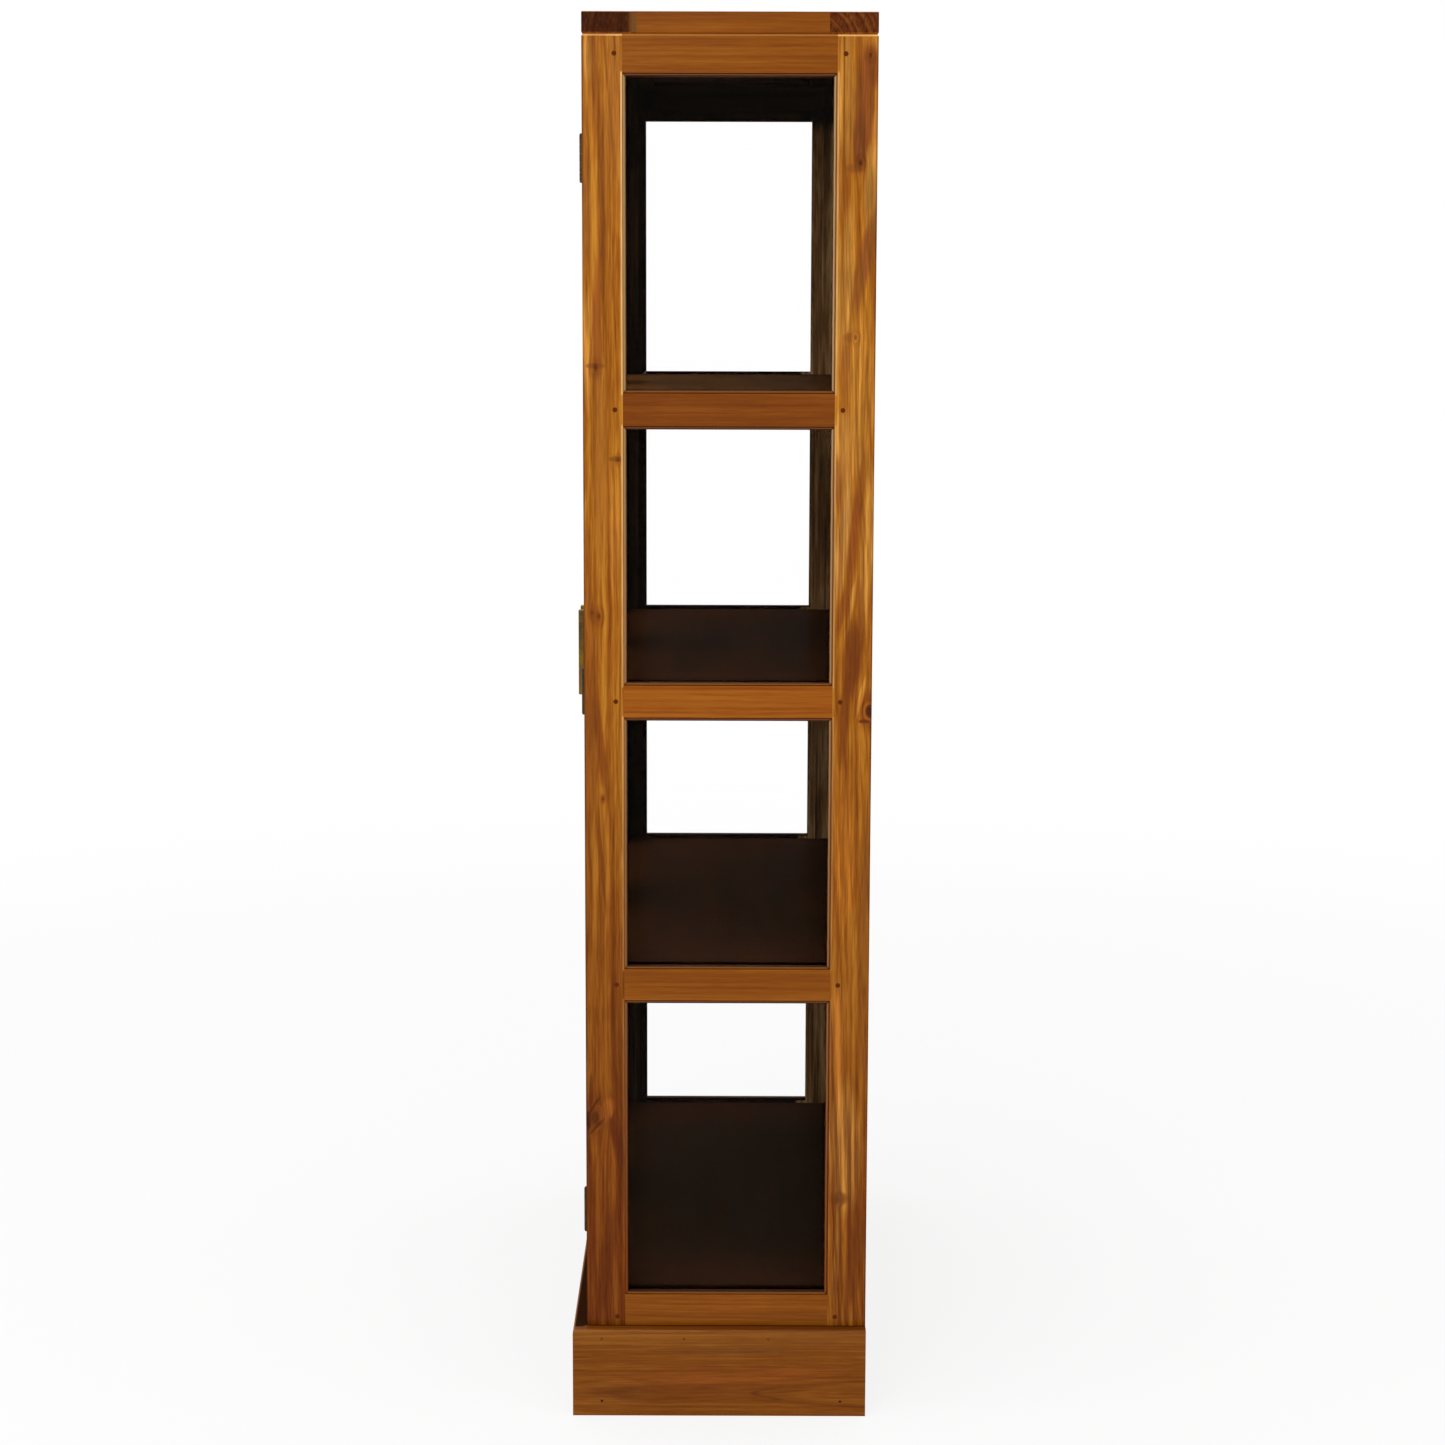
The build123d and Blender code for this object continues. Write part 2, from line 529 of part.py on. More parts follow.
with BuildPart() as top_centre_panel:
    block((-TOP_PANEL_END, TOP_PANEL_FRONT, TOP_MIDDLE - TOP_PANEL_THICK / 2),
          (TOP_PANEL_END, TOP_PANEL_BACK, TOP_MIDDLE + TOP_PANEL_THICK / 2))
    block((-TOP_PANEL_END - TOP_TONGUE, TOP_PANEL_FRONT, TONGUE_LOW),
          (TOP_PANEL_END + TOP_TONGUE, TOP_PANEL_BACK, TONGUE_HIGH))
    block((-TOP_PANEL_END, TOP_PANEL_FRONT - TOP_TONGUE, TONGUE_LOW),
          (TOP_PANEL_END, TOP_PANEL_BACK + TOP_TONGUE, TONGUE_HIGH))
write(top_centre_panel, "top_centre_panel")

# Doors
with BuildPart(DOOR_PLANE) as door_stile:
    stile(DOOR, DOOR_RAILS, True, pegged=False)
with BuildPart() as hinge_stile:
    add(door_stile.part)
    chamfer(hinge_stile.edges().filter_by(Axis.Z).group_by(Axis.Y)[0].sort_by(Axis.X)[-1], HINGE_EASE)
    put(SCREW_HOLE, DOOR_HINGE_SCREWS, Mode.SUBTRACT)
write_pair(hinge_stile, "door_{side}_hinge_stile")

with BuildPart(DOOR_PLANE) as door_stile:
    stile(DOOR, DOOR_RAILS, False, pegged=False)
with BuildPart() as meeting_stile:
    add(door_stile.part)
    for z in HANDLE_SCREW_HEIGHTS:
        rod((MEETING_MIDDLE, DOOR_BACK_Y, z), (0, -1, 0), DOOR_THICK, HANDLE_SCREW_RADIUS + SCREW_GAP,
            Mode.SUBTRACT)
    put(SCREW_HOLE, STRIKE_SCREWS, Mode.SUBTRACT)
write_pair(meeting_stile, "door_{side}_meeting_stile")

for name in ("top", "bottom"):
    with BuildPart(DOOR_PLANE) as door_rail:
        rail_between(DOOR, DOOR_RAILS[name], pegged=False)
    write_pair(door_rail, "door_{side}_" + name + "_rail")

with BuildPart(DOOR_PLANE) as middle_rails:
    for rail in SHELF_RAILS.values():
        rail_between(DOOR, rail, pegged=False)
write_pair(middle_rails, "door_{side}_middle_rails")

with BuildPart(DOOR_PLANE) as door_panes:
    panes(DOOR)
write_pair(door_panes, "door_{side}_panes")

with BuildPart(DOOR_PLANE) as door_beads:
    outer_beads(DOOR)
    inner_beads(DOOR)
write_pair(door_beads, "door_{side}_beads")

# Handles
with BuildPart() as handle:
    block((MEETING_MIDDLE - HANDLE_WIDTH / 2, FRONT_Y - HANDLE_REACH, HANDLE_HEIGHT - HANDLE_LENGTH / 2),
          (MEETING_MIDDLE + HANDLE_WIDTH / 2, FRONT_Y, HANDLE_HEIGHT + HANDLE_LENGTH / 2))
    block((MEETING_MIDDLE - HANDLE_WIDTH / 2, FRONT_Y - HANDLE_REACH + HANDLE_BAR,
           HANDLE_HEIGHT - HANDLE_LENGTH / 2 + HANDLE_POST),
          (MEETING_MIDDLE + HANDLE_WIDTH / 2, FRONT_Y, HANDLE_HEIGHT + HANDLE_LENGTH / 2 - HANDLE_POST),
          mode=Mode.SUBTRACT)
    foot_edges = handle.faces().group_by(Axis.Y)[-1].edges()
    chamfer([edge for edge in handle.edges() if edge not in foot_edges], HANDLE_EASE)
    for z in HANDLE_SCREW_HEIGHTS:
        rod((MEETING_MIDDLE, FRONT_Y, z), (0, -1, 0), HANDLE_SCREW_BITE + SCREW_GAP,
            HANDLE_SCREW_RADIUS + SCREW_GAP, Mode.SUBTRACT)
write_pair(handle, "door_{side}_handle")

# Hinges, whose knuckles take turns between the leaf on the case and the leaf on the door
def hinge_leaves(leaf_low, leaf_high, knuckles, screws):
    """The leaves of one door's hinges, flat between two places in X, with their own knuckles."""
    for height in HINGE_HEIGHTS:
        foot = height - HINGE_LENGTH / 2
        block((leaf_low, LEAF_FRONT_Y, foot),
              (leaf_high, FRONT_Y + LEAF_DEPTH, foot + HINGE_LENGTH))
        for n in knuckles:
            base = foot + n * KNUCKLE_STEP
            rod((PIN_X, FRONT_Y - PIN_FORWARD, base), (0, 0, 1), KNUCKLE_LENGTH, KNUCKLE_RADIUS)
            block((leaf_low, FRONT_Y - PIN_FORWARD, base),
                  (leaf_high, LEAF_FRONT_Y, base + KNUCKLE_LENGTH))
        rod((PIN_X, FRONT_Y - PIN_FORWARD, foot), (0, 0, 1), HINGE_LENGTH, PIN_RADIUS + PIN_GAP,
            Mode.SUBTRACT)
    put(SCREW_HOLE, screws, Mode.SUBTRACT)


with BuildPart() as case_hinge_leaves:
    hinge_leaves(INSIDE - LEAF_THICK, INSIDE, range(0, KNUCKLES, 2), CASE_HINGE_SCREWS)
    mirror(about=Plane.YZ)
write(case_hinge_leaves, "case_hinge_leaves")

with BuildPart() as door_hinge_leaves:
    hinge_leaves(INSIDE - DOOR_GAP, INSIDE - DOOR_GAP + LEAF_THICK, range(1, KNUCKLES, 2), DOOR_HINGE_SCREWS)
write_pair(door_hinge_leaves, "door_{side}_hinge_leaves")

with BuildPart() as hinge_pins:
    for height in HINGE_HEIGHTS:
        with Locations((PIN_X, FRONT_Y - PIN_FORWARD, height)):
            Cylinder(PIN_RADIUS, HINGE_LENGTH)
            for way in (-1, 1):
                with Locations((0, 0, way * (HINGE_LENGTH + PIN_HEAD) / 2)):
                    Cylinder(PIN_HEAD_RADIUS, PIN_HEAD)
    head_edges = hinge_pins.edges().filter_by(GeomType.CIRCLE).filter_by(
        lambda edge: abs(edge.radius - PIN_HEAD_RADIUS) < PIN_EASE / 2)
    ends = [height + way * (HINGE_LENGTH / 2 + PIN_HEAD) for height in HINGE_HEIGHTS for way in (-1, 1)]
    chamfer([edge for edge in head_edges if min(abs(edge.center().Z - z) for z in ends) < PIN_EASE], PIN_EASE)
    mirror(about=Plane.YZ)
write(hinge_pins, "hinge_pins")

# Catch for both doors, and the plates that it holds
with BuildPart() as door_catch:
    block((-CATCH_WIDTH / 2, CATCH_FRONT_Y, FRAME_TOP - CATCH_HEIGHT),
          (CATCH_WIDTH / 2, CATCH_FRONT_Y + CATCH_DEPTH, FRAME_TOP))
    chamfer(door_catch.faces().sort_by(Axis.Z)[0].edges(), CATCH_EASE)
    block((-CATCH_WIDTH / 2 - CATCH_EAR, CATCH_FRONT_Y, FRAME_TOP - CATCH_EAR_THICK),
          (CATCH_WIDTH / 2 + CATCH_EAR, CATCH_FRONT_Y + CATCH_DEPTH, FRAME_TOP))
    put(SCREW_HOLE, CATCH_SCREWS, Mode.SUBTRACT)
write(door_catch, "door_catch")

with BuildPart() as strike:
    block((STRIKE_MIDDLE - STRIKE_SIZE / 2, DOOR_BACK_Y, STRIKE_HEIGHT - STRIKE_SIZE / 2),
          (STRIKE_MIDDLE + STRIKE_SIZE / 2, DOOR_BACK_Y + STRIKE_THICK, STRIKE_HEIGHT + STRIKE_SIZE / 2))
    chamfer(strike.edges().filter_by(Axis.Y), STRIKE_CORNER)
    put(SCREW_HOLE, STRIKE_SCREWS, Mode.SUBTRACT)
write_pair(strike, "door_{side}_strike")

# Screws
with BuildPart() as case_screws:
    put(SCREW, on_both_sides(CASE_HINGE_SCREWS + BACK_STILE_SCREWS) + BACK_SHELF_SCREW_PLACES + CATCH_SCREWS)
write(case_screws, "case_screws")

with BuildPart() as door_screws:
    put(SCREW, DOOR_HINGE_SCREWS + STRIKE_SCREWS)
    for z in HANDLE_SCREW_HEIGHTS:
        rod((MEETING_MIDDLE, DOOR_BACK_Y, z), (0, -1, 0), DOOR_THICK + HANDLE_SCREW_BITE, HANDLE_SCREW_RADIUS)
        rod((MEETING_MIDDLE, DOOR_BACK_Y, z), (0, 1, 0), HANDLE_SCREW_HEAD, HANDLE_SCREW_HEAD_RADIUS)
    back_edges = door_screws.faces().group_by(Axis.Y)[-1].edges()
    fillet(back_edges, HANDLE_SCREW_ROUND)
write_pair(door_screws, "door_{side}_screws")
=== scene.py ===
"""Display cabinet: the finish of its wood, glass and fittings, with the floor, the light and the camera."""
import math
from functools import reduce

import bpy
from mathutils import Matrix, Vector


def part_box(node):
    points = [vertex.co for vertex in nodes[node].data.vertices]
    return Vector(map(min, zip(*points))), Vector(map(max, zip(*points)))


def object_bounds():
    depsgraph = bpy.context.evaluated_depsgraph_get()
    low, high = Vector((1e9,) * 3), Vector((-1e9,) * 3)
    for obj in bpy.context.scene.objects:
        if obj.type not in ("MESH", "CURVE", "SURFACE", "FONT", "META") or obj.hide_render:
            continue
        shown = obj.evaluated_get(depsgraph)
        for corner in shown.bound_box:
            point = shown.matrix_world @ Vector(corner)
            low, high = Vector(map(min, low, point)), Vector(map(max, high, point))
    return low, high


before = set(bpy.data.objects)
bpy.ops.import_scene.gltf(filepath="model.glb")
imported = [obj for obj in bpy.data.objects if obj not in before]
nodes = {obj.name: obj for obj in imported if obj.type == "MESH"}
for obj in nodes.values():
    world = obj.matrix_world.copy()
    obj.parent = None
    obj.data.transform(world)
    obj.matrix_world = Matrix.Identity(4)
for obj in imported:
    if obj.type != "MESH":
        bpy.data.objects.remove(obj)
cad_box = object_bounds()


# Shader maths

class Value:
    """A number that runs over a surface, so that shader maths reads as plain sums."""

    def __init__(self, tree, socket):
        self.tree, self.socket = tree, socket

    def math(self, operation, *others, **settings):
        return self.tree.value("ShaderNodeMath", dict(operation=operation, **settings), self, *others)

    def __add__(self, other):
        return self.math("ADD", other)

    def __sub__(self, other):
        return self.math("SUBTRACT", other)

    def __mul__(self, other):
        return self.math("MULTIPLY", other)

    def __truediv__(self, other):
        return self.math("DIVIDE", other)

    def __rsub__(self, other):
        return self.tree.value("ShaderNodeMath", dict(operation="SUBTRACT"), other, self)

    __radd__, __rmul__ = __add__, __mul__

    def clamp(self):
        return self.math("ADD", 0.0, use_clamp=True)

    def away(self):
        return self.math("ABSOLUTE")

    def root(self):
        return self.math("SQRT")

    def least(self, other):
        return self.math("MINIMUM", other)

    def most(self, other):
        return self.math("MAXIMUM", other)

    def step(self, low, high):
        """0 below low, 1 above high and smooth between; high may be the lower of the two."""
        return self.tree.value("ShaderNodeMapRange", dict(interpolation_type="SMOOTHSTEP"), self, low, high)


class Finish:
    """One material, or the world round it all, with its nodes added as they are named."""

    # The mix node's sockets for colours, which come after those it has for numbers and vectors.
    MIX_SHARE, MIX_BELOW, MIX_ABOVE, MIX_RESULT = 0, 6, 7, 2

    def __init__(self, name, world=None):
        self.material = world or bpy.data.materials.new(name)
        self.material.use_nodes = True
        self.nodes, self.links = self.material.node_tree.nodes, self.material.node_tree.links
        self.nodes.clear()
        self.out = self.nodes.new("ShaderNodeOutputWorld" if world else "ShaderNodeOutputMaterial")

    def node(self, kind, settings=None, *values, **named):
        """A new node with its own settings, and with its sockets filled in turn or by name."""
        made = self.nodes.new(kind)
        for key, value in (settings or {}).items():
            if key == "stops":
                self.fill_ramp(made.color_ramp, value)
            else:
                setattr(made, key, value)
        for key, value in [*enumerate(values), *named.items()]:
            socket = key.replace("_", " ") if isinstance(key, str) else key
            self.plug(made.inputs[socket], value)
        return made

    def plug(self, socket, value):
        """Fill a socket with shader maths, another node's output or a plain value."""
        if isinstance(value, Value):
            self.links.new(value.socket, socket)
        elif isinstance(value, bpy.types.NodeSocket):
            self.links.new(value, socket)
        elif value is not None:
            socket.default_value = value

    def fill_ramp(self, ramp, stops):
        while len(ramp.elements) < len(stops):
            ramp.elements.new(1.0)
        for element, (place, colour) in zip(ramp.elements, stops):
            element.position, element.color = place, colour

    def output(self, kind, settings=None, *values, **named):
        """The first output of a new node."""
        return self.node(kind, settings, *values, **named).outputs[0]

    def value(self, kind, settings=None, *values, **named):
        return Value(self, self.output(kind, settings, *values, **named))

    def vector(self, x, y, z):
        return self.output("ShaderNodeCombineXYZ", None, x, y, z)

    def parts(self, vector):
        split = self.node("ShaderNodeSeparateXYZ", None, vector)
        return [Value(self, socket) for socket in split.outputs]

    def place(self):
        """Where the point lies in the cabinet, in metres, the same in every pose."""
        return self.parts(self.node("ShaderNodeTexCoord").outputs["Object"])

    def facing(self):
        """Which way the surface faces, as the cabinet's own x, y and z."""
        return self.parts(self.node("ShaderNodeTexCoord").outputs["Normal"])

    def noise(self, x, y, z, detail=2.0, roughness=0.5):
        return self.value("ShaderNodeTexNoise", None, Vector=self.vector(x, y, z), Scale=1.0,
                          Detail=detail, Roughness=roughness)

    def noise_line(self, along, detail=2.0, roughness=0.5):
        return self.value("ShaderNodeTexNoise", dict(noise_dimensions="1D"), W=along, Scale=1.0,
                          Detail=detail, Roughness=roughness)

    def blend(self, share, below, above, how="MIX"):
        """Colour above laid over colour below, by the share given."""
        mix = self.node("ShaderNodeMix", dict(data_type="RGBA", blend_type=how))
        self.plug(mix.inputs[self.MIX_SHARE], share)
        self.plug(mix.inputs[self.MIX_BELOW], below)
        self.plug(mix.inputs[self.MIX_ABOVE], above)
        return mix.outputs[self.MIX_RESULT]

    def ramp(self, share, stops):
        """The colour at a share from 0 to 1 of the way along the stops, each a place and a colour."""
        return self.output("ShaderNodeValToRGB", dict(stops=stops), share)

    def bump(self, height, strength, distance):
        return self.output("ShaderNodeBump", None, Strength=strength, Distance=distance, Height=height)

    def close(self, shader):
        """Make the shader what shows, and give back the material."""
        self.links.new(shader, self.out.inputs[0])
        return self.material

    def surface(self, **sockets):
        return self.close(self.output("ShaderNodeBsdfPrincipled", None, **sockets))


def paint(red, green, blue):
    """A colour as it is read off a screen, 0 to 255, for Blender's own scale, by the curve of sRGB."""
    def straight(level):
        level /= 255
        return level / 12.92 if level < 0.04045 else ((level + 0.055) / 1.055) ** 2.4
    return straight(red), straight(green), straight(blue), 1.0


# Wood

# Each wood or stain has a colour for dark, one for plain and one for light grain.
golden = paint(128, 66, 10), paint(163, 96, 20), paint(196, 130, 40)
amber = paint(112, 54, 8), paint(136, 73, 12), paint(158, 93, 24)
red_amber = paint(101, 46, 7), paint(123, 62, 11), paint(144, 80, 22)
pale_amber = paint(123, 58, 10), paint(149, 79, 15), paint(172, 101, 28)
dull = paint(104, 52, 8), paint(127, 69, 13), paint(148, 88, 24)
stain = paint(20, 13, 8), paint(34, 21, 12), paint(48, 31, 18)
# A paler copy of the stain, for painted light on the front stile's inner face.
front_lit_stain = paint(34, 24, 13), paint(56, 39, 21), paint(78, 56, 32)
# A paler copy of the stain, for painted light from the panes at the back of the inside.
window_lit_stain = paint(88, 58, 28), paint(136, 95, 51), paint(182, 142, 94)
shelf_stain = paint(46, 23, 6), paint(54, 27, 8), paint(62, 33, 11)
bottom_stain = paint(34, 19, 7), paint(42, 24, 10), paint(50, 30, 13)
# A paler copy of the shelf stain, for painted light from above on the upper shelf.
lit_upper_shelf_stain = paint(80, 48, 20), paint(96, 60, 26), paint(112, 73, 33)
end_grain = paint(46, 17, 5), paint(72, 33, 11), paint(98, 51, 20)
dark_end_grain = paint(40, 14, 4), paint(64, 28, 9), paint(88, 45, 18)
pale_end_grain = paint(64, 25, 7), paint(96, 45, 16), paint(128, 72, 30)
knot_heart, round_knots = paint(58, 24, 8), paint(168, 84, 30)

# How much clear coat a varnished and a stained face have.
VARNISH, MATT = 0.15, 0.01
# The shades at which grain is dark, plain and light, on a board's faces and on its cut ends.
FACE_SHADES, END_SHADES = (0.28, 0.5, 0.72), (0.3, 0.5, 0.7)
# A mark's colour is multiplied by these for its dark, plain and light grain.
MARK_SHADES = (0.78, 1.0, 1.25)
# How many times wood turns from light to dark in a metre of the tree's radius.
RINGS_PER_METRE = 170
# A knot's width over its height, and how hard it pushes the grain aside.
KNOT_SHAPE, KNOT_PUSH = 0.62, 1.3
# How high the grain's relief is, in metres.
GRAIN_HEIGHT = 0.0003


class Board:
    """A board's varnish while it is being made up: its finish, where the point lies, how it faces,
    the shade of its grain (0.5 is plain), its colour and how much varnish it has."""

    def __init__(self, name, axes, seed, strength):
        self.f = Finish(name)
        self.x, self.y, self.z = self.f.place()
        self.facing = self.f.facing()
        self.run, self.across, self.deep = (getattr(self, axis) for axis in axes)
        # The cut ends face along the run.
        self.cut = self.facing["xyz".index(axes[0])].away().step(0.7, 0.9)
        self.seed, self.strength, self.varnish = seed, strength, VARNISH

    def grow(self, pith, knots):
        """The rings round the heart of the tree, turned aside by the knots, and finer layers over them.
        Each layer has its own waves to the metre across and along the run, and the seed sets boards apart."""
        f, seed, run, deep = self.f, self.seed, self.run, self.deep
        bent, cores, halos, distances = self.across, [], [], []
        for knot_across, knot_run, size, darkness in knots:
            aside, up = self.across - knot_across, (run - knot_run) * KNOT_SHAPE
            spread = aside * aside + up * up
            bent = bent - aside * size * size * KNOT_PUSH / (spread + size * size)
            sizes_off = spread / size ** 2
            cores.append(sizes_off.step(0.9, 0.05) * darkness)
            halos.append(sizes_off.step(10, 0.6) * darkness)
            distances.append(sizes_off)
        sway = f.noise(bent * 8 + seed, deep * 8, run * 2.6, 1.0) * 0.022 \
            + f.noise(bent * 34, deep * 34 + seed, run * 9, 1.0) * 0.0035
        off_across, off_deep = bent - pith[0] - run * pith[2], deep - pith[1] - run * pith[3]
        radius = (off_across * off_across + off_deep * off_deep).root() + sway
        self.rings = f.noise_line(radius * RINGS_PER_METRE + seed * 5, 2.5, 0.6) - 0.5
        self.clouds = f.noise(bent * 26 + seed, deep * 26, run * 4, 1.0) - 0.5
        self.streaks = f.noise(bent * 230, deep * 230 + seed, run * 3.5, 3.0, 0.6) - 0.5
        self.flecks = f.noise(bent * 380, deep * 380, run * 26 + seed, 2.0) - 0.5
        self.fibres = f.noise(bent * 1100, deep * 1100, run * 34 + seed, 2.0) - 0.5
        if knots:
            self.core, self.halo = reduce(Value.most, cores), reduce(Value.most, halos)
            nearest_knot = reduce(Value.least, distances)
            # Round a knot the rings give way to its own, broken by the grain.
            swirl = nearest_knot.root() * 2.2 + self.clouds * 7 + self.streaks * 3 + seed
            swirl = f.noise_line(swirl, 1.5) - 0.5
            self.rings = self.rings + (swirl * 0.6 - self.rings) * nearest_knot.step(4.5, 0.8)
        figure = self.rings * 0.65 + self.clouds * 0.42 + self.streaks * 0.8
        figure = figure + self.flecks * 0.4 + self.fibres * 0.3
        self.shade = figure * self.strength + 0.5

    def toned(self, tones):
        return self.f.ramp(self.shade, list(zip(FACE_SHADES, tones)))

    def lay(self, share, colour, how="MIX"):
        self.colour = self.f.blend(share, self.colour, colour, how)

    def lose_gloss(self, share):
        self.varnish = (1 - share) * (VARNISH - MATT) + MATT

    def mark(self, across, run, half_width, half_run, colour, share, lean=0.0):
        """A soft long patch of another colour, at a place across and along the board, wavering and broken
        with the grain."""
        up = self.run - run
        aside = self.across - across - up * lean + self.clouds * 0.010 + self.streaks * 0.006
        spread = aside * aside / half_width ** 2 + up * up / half_run ** 2
        tones = [paint(*(part * shade for part in colour)) for shade in MARK_SHADES]
        broken = self.streaks * 2.4 + self.rings * 1.2 + 0.85
        self.lay(spread.step(1.3, 0.2) * broken * share, self.toned(tones))


def wood(name, axes, tones, pith=(0.03, 0.06, 0.02, 0.01), seed=0.0, knots=(), marks=(), strength=1.0,
         relief=0.3, dressings=(), ends=end_grain):
    """A varnished board. axes names its run, width and thickness. pith is where the heart of the tree lies,
    by width and by thickness, and how far it leans by each in a metre. tones and ends colour the faces and
    the cut ends, strength is how bold the grain is and relief how much of it is felt, and the dressings are
    laid over all else."""
    b = Board(name, axes, seed, strength)
    b.grow(pith, knots)
    b.colour = b.toned(tones)
    for place in marks:
        b.mark(*place)
    if knots:
        b.lay(b.halo * 0.5, round_knots, "MULTIPLY")
        b.lay(b.core * (b.rings * 0.9 + 0.85), knot_heart)
    pores = b.f.noise(b.across * 420, b.deep * 150, b.run * 3, 3.0) - 0.5
    b.lay(b.cut, b.f.ramp(b.rings * 0.5 + pores * 0.5 + 0.5, list(zip(END_SHADES, ends))))
    for dress in dressings:
        dress(b)
    height = b.rings * 0.25 + b.streaks * 0.3 + b.fibres * 0.6
    return b.f.surface(Base_Color=b.colour, Roughness=b.fibres * 0.18 + b.cut * 0.15 + 0.4,
                       Specular_IOR_Level=0.0, Coat_Weight=(1 - b.cut * 0.7) * b.varnish, Coat_Roughness=0.22,
                       Normal=b.f.bump(height, relief, GRAIN_HEIGHT))


# The side frame's faces, joints and lights, which the finish follows. What is added to them below is in
# metres, and the two ends of a step make a soft edge.
front_stile, back_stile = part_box("side_right_front_stile"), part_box("side_right_back_stile")
INSIDE_X, BODY_X = front_stile[0][0], front_stile[1][0]
BODY_FRONT, FRONT_JOINT = front_stile[0][1], front_stile[1][1]
BACK_JOINT, BODY_BACK = back_stile[0][1], back_stile[1][1]
BODY_TOP, CASE_TOP = front_stile[1][2], cad_box[1][2]
rails = [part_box(f"side_right_{level}_rail") for level in ("bottom", "lower", "middle", "upper", "top")]
LIGHTS = [(below[1][2], above[0][2]) for below, above in zip(rails, rails[1:])]


def nearest(place, levels):
    """How far the point is from the nearest of the levels."""
    return reduce(Value.least, [(place - level).away() for level in levels])


def stained(b, share, tones=stain):
    """Stain without varnish, by the share given."""
    b.lay(share, b.toned(tones))
    b.lose_gloss(share)


def shelf_finish(b):
    """Matt stain, a little redder towards the side lights."""
    b.lay(b.x.away().step(0.22, 0.40) * 0.45, paint(66, 33, 15))
    b.varnish = MATT


def painted_window_light(b, share):
    """Painted light: paler stain beside a light, below the top rail, where daylight comes in through the
    panes.
    """
    under_rail = LIGHTS[-1][1]
    below = b.z.step(under_rail, under_rail - 0.028)
    b.lay(share * below * (b.streaks * 1.2 + 0.9), b.toned(window_lit_stain))


def inside_share(b):
    """1 on the side frame's inner face and 0 from a little way behind it."""
    return b.x.away().step(INSIDE_X + 0.0022, INSIDE_X + 0.001)


def inner_bead_finish(b):
    """Stained, paler at the back as painted light from the panes, and near black on top as painted shade."""
    b.varnish = MATT
    painted_window_light(b, inside_share(b) * b.y.step(BACK_JOINT - 0.022, BACK_JOINT - 0.015))
    # Painted shade: near black on the faces that look up.
    b.lay(b.facing[2].step(0.3, 0.8), paint(96, 80, 72), "MULTIPLY")


def inner_face(b):
    """The side frame's inner face, stained like the rest of the inside."""
    stained(b, inside_share(b))


def front_lit_inner_face(b):
    """The front stile's inner face, stained paler as painted light, where the opening doors let light in."""
    stained(b, inside_share(b), front_lit_stain)


def window_lit_inner_face(b):
    """The back stile's inner face, stained, with painted light from the panes."""
    inner_face(b)
    painted_window_light(b, inside_share(b))


def inner_back(b):
    """The back panel's inner face, stained, with varnish left on the outer one."""
    stained(b, b.y.step(BODY_BACK - 0.0025, BODY_BACK - 0.0045))


def under_top(b):
    """The underside that shows from within, between the side frames and behind the doors."""
    beneath = b.z.step(BODY_TOP + 0.0052, BODY_TOP + 0.0045)
    within = b.x.away().step(INSIDE_X + 0.001, INSIDE_X) * b.y.step(BODY_FRONT + 0.008, BODY_FRONT + 0.010)
    stained(b, beneath * within)


def painted_top_highlight(b):
    """A pale painted highlight along the arris under the top's groove, where light falls from above."""
    b.lay(b.z.step(BODY_TOP - 0.0030, BODY_TOP - 0.0018) * (b.clouds * 1.2 + 0.85), paint(238, 184, 112))


def painted_rail_highlight(b):
    """A faint pale painted highlight along the top rail's upper arris."""
    b.lay(b.z.step(BODY_TOP - 0.0028, BODY_TOP - 0.0014) * 0.4, paint(226, 160, 92))


def painted_arris_highlight(b):
    """A pale painted highlight on the stile's edge along each light, strongest near the top, where the light
    falls from above.
    """
    beside = nearest(b.y, (FRONT_JOINT - 0.0012, BACK_JOINT + 0.0012))
    lights = [b.z.step(low - 0.004, low) * b.z.step(high + 0.003, high) for low, high in LIGHTS]
    along = reduce(Value.__add__, lights)
    # How strong the painted highlight is: most near the top and less towards the back.
    highlight_level = b.z.step(0.1, CASE_TOP) * 0.9 * (1 - b.y.step(0.0, 0.1) * 0.4)
    b.lay(beside.step(0.0017, 0.0006) * along * highlight_level * (b.flecks + 0.9), paint(238, 188, 120))


def dark_arris(b):
    """Stain gathered along the stile's outer edges."""
    b.lay(nearest(b.y, (BODY_FRONT, BODY_BACK)).step(0.0026, 0.0006) * 0.6, paint(150, 116, 92), "MULTIPLY")


def darker_wood_and_foot_shade(most):
    """Varnish that is darker towards the floor, partly the wood's own colour and partly painted shade from
    the light above, darkened by the share given.
    """
    def dress(b):
        b.lay(b.z.step(1.25, 0.15) * most, paint(178, 148, 128), "MULTIPLY")
    return dress


def dark_top_arris(b):
    """Stain gathered along the upper edge of the top's sides."""
    upright = 1 - b.facing[2].away().step(0.3, 0.8)
    b.lay(b.z.step(CASE_TOP - 0.0026, CASE_TOP - 0.0008) * upright * 0.7, paint(132, 96, 72), "MULTIPLY")


def plinth_highlight_and_shade(b):
    """A painted highlight, a little paler and yellower, near the top, painted shade on the faces that look
    up, and darker painted shade on the ledge beside the body.
    """
    b.lay(b.z.step(0.080, 0.112) * (b.streaks * 1.5 + 0.9) * 0.16, paint(150, 100, 46))
    upward = b.facing[2].step(0.75, 0.97)
    b.lay(upward * 0.8, paint(196, 180, 164), "MULTIPLY")
    b.lay(upward * b.x.away().step(BODY_X + 0.004, BODY_X + 0.001), paint(110, 84, 66), "MULTIPLY")


